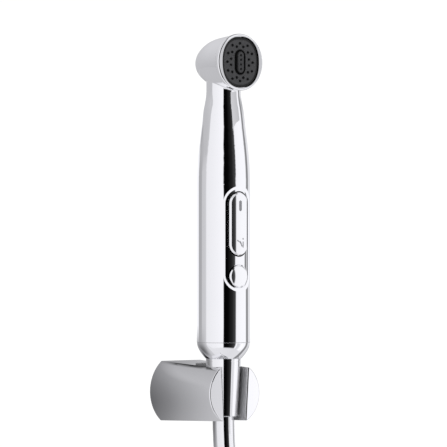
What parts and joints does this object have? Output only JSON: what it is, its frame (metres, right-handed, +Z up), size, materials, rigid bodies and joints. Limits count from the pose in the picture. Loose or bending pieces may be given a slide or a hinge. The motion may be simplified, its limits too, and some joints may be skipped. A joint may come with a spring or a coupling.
{
  "type": "handheld bidet shower",
  "caption": "Chrome hand bidet shower with a spray head, rocker and push button, standing in a conical wall holder, with its coiled hose.",
  "frame": {"origin": "centre of the holder's back face, on the wall", "axes": "+Y into the wall, +Z up along the handset, +X to the right seen from the room"},
  "size_m": [0.1788, 0.0898, 0.5079],
  "materials": {
    "chrome_body": "polished chrome plate on a moulded body",
    "chrome_trim": "polished chrome plate on moulded trim",
    "holder_chrome": "polished chrome plate on a moulded holder",
    "nut_chrome": "polished chrome plate on turned brass",
    "face_plastic": "dark grey moulded, satin",
    "nozzle_rubber": "black silicone",
    "white_plastic": "natural moulded acetal",
    "tube_plastic": "extruded tube",
    "seal_rubber": "black moulded rubber",
    "brass": "turned brass",
    "steel": "bright stainless steel",
    "hose": "smooth silver hose",
    "tie_rubber": "black rubber strap",
    "plate_plastic": "grey moulded nylon"
  },
  "bodies": {
    "root": {"body_shell": "chrome_body", "end_collar": "chrome_body", "head_bezel": "chrome_trim", "holder_shell": "holder_chrome", "hose_nut": "nut_chrome", "spray_face": "face_plastic", "jet_insert": "face_plastic", "nozzle_mat": "nozzle_rubber", "distributor": "white_plastic", "valve_body": "white_plastic", "rocker_frame": "white_plastic", "check_valve_body": "white_plastic", "spray_tube": "tube_plastic", "jet_tube": "tube_plastic", "head_seal": "seal_rubber", "collar_seal": "seal_rubber", "inlet_seal": "seal_rubber", "hose_washer": "seal_rubber", "end_washer": "seal_rubber", "inlet_nipple": "brass", "hose_tail": "brass", "end_tail": "brass", "rocker_pin": "steel", "button_spring": "steel", "check_spring": "steel", "inlet_strainer": "steel", "grub_screw": "steel", "hose_tube": "hose", "hose_coil": "hose", "hose_end": "hose", "coil_tie": "tie_rubber", "wall_plate": "plate_plastic"},
    "rocker": {"rocker": "chrome_trim"},
    "spool": {"diverter_spool": "brass", "spool_seals": "seal_rubber"},
    "button": {"push_button": "chrome_trim", "stop_plunger": "brass", "plunger_seals": "seal_rubber"},
    "poppet": {"check_poppet": "white_plastic"},
    "end_nut": {"end_nut": "nut_chrome"}
  },
  "joints": [
    {"name": "rocker_tilt", "type": "hinge", "parent": "root", "child": "rocker", "pos_m": [0, -0.0548, 0.1074], "axis": [1, 0, 0], "range_deg": [-5, 5]},
    {"name": "spool_slide", "type": "slide", "parent": "root", "child": "spool", "axis": [0, 0, 1], "range_m": [-0.0007, 0.0007]},
    {"name": "button_press", "type": "slide", "parent": "root", "child": "button", "axis": [0, 1, 0], "range_m": [0, 0.0025], "stiffness_N_per_m": 900, "springref_m": -0.002, "deforming": ["button_spring"]},
    {"name": "check_lift", "type": "slide", "parent": "root", "child": "poppet", "axis": [0, 0, 1], "range_m": [0, 0.0025], "stiffness_N_per_m": 150, "springref_m": -0.002, "deforming": ["check_spring"]},
    {"name": "end_nut_spin", "type": "hinge", "parent": "root", "child": "end_nut", "pos_m": [0.07903, -0.07784, -0.27587], "axis": [0, 0, 1], "continuous": true}
  ],
  "couplings": [
    {"joint": "rocker_tilt", "follows": "spool_slide", "rad_per_m": 124.22}
  ]
}
